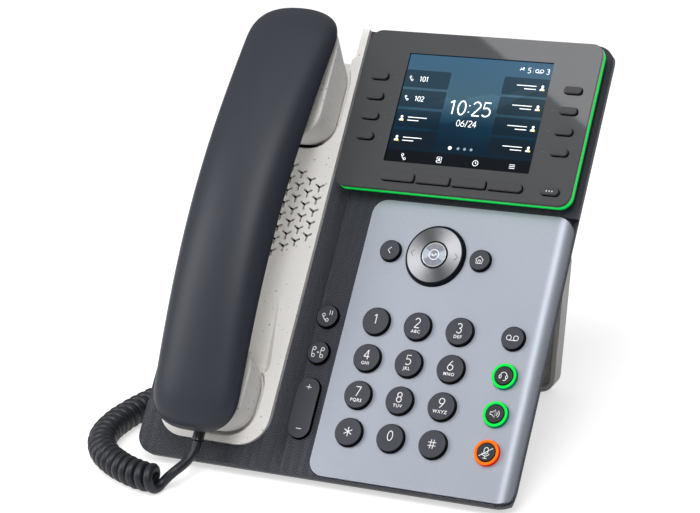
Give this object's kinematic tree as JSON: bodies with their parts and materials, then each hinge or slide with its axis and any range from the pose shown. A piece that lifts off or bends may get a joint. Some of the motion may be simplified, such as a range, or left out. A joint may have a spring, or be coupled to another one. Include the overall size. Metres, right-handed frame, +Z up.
{
  "type": "desk ip phone",
  "caption": "Desk phone on a leg stand: sloped body with colour display, line and soft keys, keypad and navigation ring, corded handset in a side cradle.",
  "frame": {"origin": "on the desk, under the middle of the phone's footprint without its cord", "axes": "+Z up, +Y from the user towards the back, +X to the user's right as they face the keys"},
  "size_m": [0.2145, 0.174, 0.183],
  "materials": {
    "deck_plastic": "fine woven grain, charcoal",
    "rear_plastic": "fine spark grain, charcoal",
    "cradle_plastic": "fine grain, warm off-white",
    "plate_silver": "fine-grained bluish silver paint, satin",
    "display_face": "polished dark grey",
    "light_green": "frosted light guide, lit green",
    "lcd_screen": "glass panel over a colour picture",
    "board_green": "solder mask over fibreglass",
    "membrane_rubber": "silicone mat",
    "speaker_black": "black paint, paper cone",
    "hook_white": "smooth moulded",
    "jack_grey": "smooth moulded",
    "screw_steel": "zinc plated",
    "stand_plastic": "fine grain, light grey",
    "foot_rubber": "matte",
    "rocker_plastic": "satin charcoal with pale marks",
    "nav_carrier_plastic": "smooth moulded",
    "nav_metal": "brushed metallic coating",
    "select_metal": "clear dome over a metallic face",
    "key_plastic": "satin charcoal with white characters",
    "display_key_plastic": "satin dark grey",
    "handset_charcoal": "fine spark grain, charcoal",
    "handset_white": "fine grain, warm off-white",
    "transducer_grey": "capsule with a felt front",
    "cord_black": "smooth satin jacket",
    "plug_black": "smooth moulded plug and boot"
  },
  "bodies": {
    "base": {"rear_housing": "rear_plastic", "front_deck": "deck_plastic", "handset_cradle": "cradle_plastic", "keypad_plate": "plate_silver", "display_bezel": "display_face", "light_guides": "light_green", "lcd_panel": "lcd_screen", "circuit_boards": "board_green", "key_membrane": "membrane_rubber", "loudspeaker": "speaker_black", "rear_jacks": "jack_grey", "housing_screws": "screw_steel", "stand": "stand_plastic", "rubber_feet": "foot_rubber", "cord_lead": "cord_black", "cord_coil": "cord_black", "cord_tail": "cord_black", "cord_base_plug": "plug_black"},
    "handset": {"handset_top_shell": "handset_charcoal", "handset_bottom_shell": "handset_white", "handset_transducers": "transducer_grey", "cord_handset_plug": "plug_black"},
    "hook_switch": {"hook_switch": "hook_white"},
    "volume_rocker": {"volume_rocker": "rocker_plastic"},
    "nav_pivot": {"nav_pivot": "nav_carrier_plastic"},
    "nav_ring": {"nav_ring": "nav_metal"},
    "select_button": {"select_button": "select_metal"},
    "key_1": {"key_1": "key_plastic"},
    "key_2": {"key_2": "key_plastic"},
    "key_3": {"key_3": "key_plastic"},
    "key_4": {"key_4": "key_plastic"},
    "key_5": {"key_5": "key_plastic"},
    "key_6": {"key_6": "key_plastic"},
    "key_7": {"key_7": "key_plastic"},
    "key_8": {"key_8": "key_plastic"},
    "key_9": {"key_9": "key_plastic"},
    "key_star": {"key_star": "key_plastic"},
    "key_0": {"key_0": "key_plastic"},
    "key_hash": {"key_hash": "key_plastic"},
    "back_key": {"back_key": "key_plastic"},
    "home_key": {"home_key": "key_plastic"},
    "hold_key": {"hold_key": "key_plastic"},
    "transfer_key": {"transfer_key": "key_plastic"},
    "voicemail_key": {"voicemail_key": "key_plastic"},
    "headset_key": {"headset_key": "key_plastic"},
    "speaker_key": {"speaker_key": "key_plastic"},
    "mute_key": {"mute_key": "key_plastic"},
    "line_key_1": {"line_key_1": "display_key_plastic"},
    "line_key_2": {"line_key_2": "display_key_plastic"},
    "line_key_3": {"line_key_3": "display_key_plastic"},
    "line_key_4": {"line_key_4": "display_key_plastic"},
    "line_key_5": {"line_key_5": "display_key_plastic"},
    "line_key_6": {"line_key_6": "display_key_plastic"},
    "line_key_7": {"line_key_7": "display_key_plastic"},
    "line_key_8": {"line_key_8": "display_key_plastic"},
    "soft_key_1": {"soft_key_1": "display_key_plastic"},
    "soft_key_2": {"soft_key_2": "display_key_plastic"},
    "soft_key_3": {"soft_key_3": "display_key_plastic"},
    "soft_key_4": {"soft_key_4": "display_key_plastic"},
    "more_key": {"more_key": "display_key_plastic"}
  },
  "joints": [
    {"name": "handset_lift", "type": "slide", "parent": "base", "child": "handset", "axis": [0, -0.766, 0.6428], "range_m": [0, 0.06]},
    {"name": "hook_rise", "type": "slide", "parent": "base", "child": "hook_switch", "axis": [0, -0.766, 0.6428], "range_m": [0, 0.003]},
    {"name": "key_1_press", "type": "slide", "parent": "base", "child": "key_1", "axis": [0, 0.766, -0.6428], "range_m": [0, 0.0012], "stiffness_N_per_m": 300},
    {"name": "key_2_press", "type": "slide", "parent": "base", "child": "key_2", "axis": [0, 0.766, -0.6428], "range_m": [0, 0.0012], "stiffness_N_per_m": 300},
    {"name": "key_3_press", "type": "slide", "parent": "base", "child": "key_3", "axis": [0, 0.766, -0.6428], "range_m": [0, 0.0012], "stiffness_N_per_m": 300},
    {"name": "key_4_press", "type": "slide", "parent": "base", "child": "key_4", "axis": [0, 0.766, -0.6428], "range_m": [0, 0.0012], "stiffness_N_per_m": 300},
    {"name": "key_5_press", "type": "slide", "parent": "base", "child": "key_5", "axis": [0, 0.766, -0.6428], "range_m": [0, 0.0012], "stiffness_N_per_m": 300},
    {"name": "key_6_press", "type": "slide", "parent": "base", "child": "key_6", "axis": [0, 0.766, -0.6428], "range_m": [0, 0.0012], "stiffness_N_per_m": 300},
    {"name": "key_7_press", "type": "slide", "parent": "base", "child": "key_7", "axis": [0, 0.766, -0.6428], "range_m": [0, 0.0012], "stiffness_N_per_m": 300},
    {"name": "key_8_press", "type": "slide", "parent": "base", "child": "key_8", "axis": [0, 0.766, -0.6428], "range_m": [0, 0.0012], "stiffness_N_per_m": 300},
    {"name": "key_9_press", "type": "slide", "parent": "base", "child": "key_9", "axis": [0, 0.766, -0.6428], "range_m": [0, 0.0012], "stiffness_N_per_m": 300},
    {"name": "key_star_press", "type": "slide", "parent": "base", "child": "key_star", "axis": [0, 0.766, -0.6428], "range_m": [0, 0.0012], "stiffness_N_per_m": 300},
    {"name": "key_0_press", "type": "slide", "parent": "base", "child": "key_0", "axis": [0, 0.766, -0.6428], "range_m": [0, 0.0012], "stiffness_N_per_m": 300},
    {"name": "key_hash_press", "type": "slide", "parent": "base", "child": "key_hash", "axis": [0, 0.766, -0.6428], "range_m": [0, 0.0012], "stiffness_N_per_m": 300},
    {"name": "back_key_press", "type": "slide", "parent": "base", "child": "back_key", "axis": [0, 0.766, -0.6428], "range_m": [0, 0.0012], "stiffness_N_per_m": 300},
    {"name": "home_key_press", "type": "slide", "parent": "base", "child": "home_key", "axis": [0, 0.766, -0.6428], "range_m": [0, 0.0012], "stiffness_N_per_m": 300},
    {"name": "hold_key_press", "type": "slide", "parent": "base", "child": "hold_key", "axis": [0, 0.766, -0.6428], "range_m": [0, 0.0012], "stiffness_N_per_m": 300},
    {"name": "transfer_key_press", "type": "slide", "parent": "base", "child": "transfer_key", "axis": [0, 0.766, -0.6428], "range_m": [0, 0.0012], "stiffness_N_per_m": 300},
    {"name": "voicemail_key_press", "type": "slide", "parent": "base", "child": "voicemail_key", "axis": [0, 0.766, -0.6428], "range_m": [0, 0.0012], "stiffness_N_per_m": 300},
    {"name": "headset_key_press", "type": "slide", "parent": "base", "child": "headset_key", "axis": [0, 0.766, -0.6428], "range_m": [0, 0.0012], "stiffness_N_per_m": 300},
    {"name": "speaker_key_press", "type": "slide", "parent": "base", "child": "speaker_key", "axis": [0, 0.766, -0.6428], "range_m": [0, 0.0012], "stiffness_N_per_m": 300},
    {"name": "mute_key_press", "type": "slide", "parent": "base", "child": "mute_key", "axis": [0, 0.766, -0.6428], "range_m": [0, 0.0012], "stiffness_N_per_m": 300},
    {"name": "line_key_1_press", "type": "slide", "parent": "base", "child": "line_key_1", "axis": [0, 0.766, -0.6428], "range_m": [0, 0.001], "stiffness_N_per_m": 300},
    {"name": "line_key_2_press", "type": "slide", "parent": "base", "child": "line_key_2", "axis": [0, 0.766, -0.6428], "range_m": [0, 0.001], "stiffness_N_per_m": 300},
    {"name": "line_key_3_press", "type": "slide", "parent": "base", "child": "line_key_3", "axis": [0, 0.766, -0.6428], "range_m": [0, 0.001], "stiffness_N_per_m": 300},
    {"name": "line_key_4_press", "type": "slide", "parent": "base", "child": "line_key_4", "axis": [0, 0.766, -0.6428], "range_m": [0, 0.001], "stiffness_N_per_m": 300},
    {"name": "line_key_5_press", "type": "slide", "parent": "base", "child": "line_key_5", "axis": [0, 0.766, -0.6428], "range_m": [0, 0.001], "stiffness_N_per_m": 300},
    {"name": "line_key_6_press", "type": "slide", "parent": "base", "child": "line_key_6", "axis": [0, 0.766, -0.6428], "range_m": [0, 0.001], "stiffness_N_per_m": 300},
    {"name": "line_key_7_press", "type": "slide", "parent": "base", "child": "line_key_7", "axis": [0, 0.766, -0.6428], "range_m": [0, 0.001], "stiffness_N_per_m": 300},
    {"name": "line_key_8_press", "type": "slide", "parent": "base", "child": "line_key_8", "axis": [0, 0.766, -0.6428], "range_m": [0, 0.001], "stiffness_N_per_m": 300},
    {"name": "soft_key_1_press", "type": "slide", "parent": "base", "child": "soft_key_1", "axis": [0, 0.766, -0.6428], "range_m": [0, 0.001], "stiffness_N_per_m": 300},
    {"name": "soft_key_2_press", "type": "slide", "parent": "base", "child": "soft_key_2", "axis": [0, 0.766, -0.6428], "range_m": [0, 0.001], "stiffness_N_per_m": 300},
    {"name": "soft_key_3_press", "type": "slide", "parent": "base", "child": "soft_key_3", "axis": [0, 0.766, -0.6428], "range_m": [0, 0.001], "stiffness_N_per_m": 300},
    {"name": "soft_key_4_press", "type": "slide", "parent": "base", "child": "soft_key_4", "axis": [0, 0.766, -0.6428], "range_m": [0, 0.001], "stiffness_N_per_m": 300},
    {"name": "more_key_press", "type": "slide", "parent": "base", "child": "more_key", "axis": [0, 0.766, -0.6428], "range_m": [0, 0.001], "stiffness_N_per_m": 300},
    {"name": "select_button_press", "type": "slide", "parent": "base", "child": "select_button", "axis": [0, 0.766, -0.6428], "range_m": [0, 0.0012], "stiffness_N_per_m": 300},
    {"name": "volume_rock", "type": "hinge", "parent": "base", "child": "volume_rocker", "pos_m": [-0.0135, -0.04234, 0.02597], "axis": [1, 0, 0], "range_deg": [-2.5, 2.5], "stiffness_Nm_per_rad": 0.3},
    {"name": "nav_up_down", "type": "hinge", "parent": "base", "child": "nav_pivot", "pos_m": [0.03105, 0.00548, 0.08583], "axis": [1, 0, 0], "range_deg": [-2, 2], "stiffness_Nm_per_rad": 0.3},
    {"name": "nav_left_right", "type": "hinge", "parent": "nav_pivot", "child": "nav_ring", "pos_m": [0.03105, 0.00452, 0.08664], "axis": [0, 0.6428, 0.766], "range_deg": [-2, 2], "stiffness_Nm_per_rad": 0.3}
  ],
  "couplings": [
    {"joint": "hook_rise", "follows": "handset_lift", "ratio": 0.05}
  ]
}
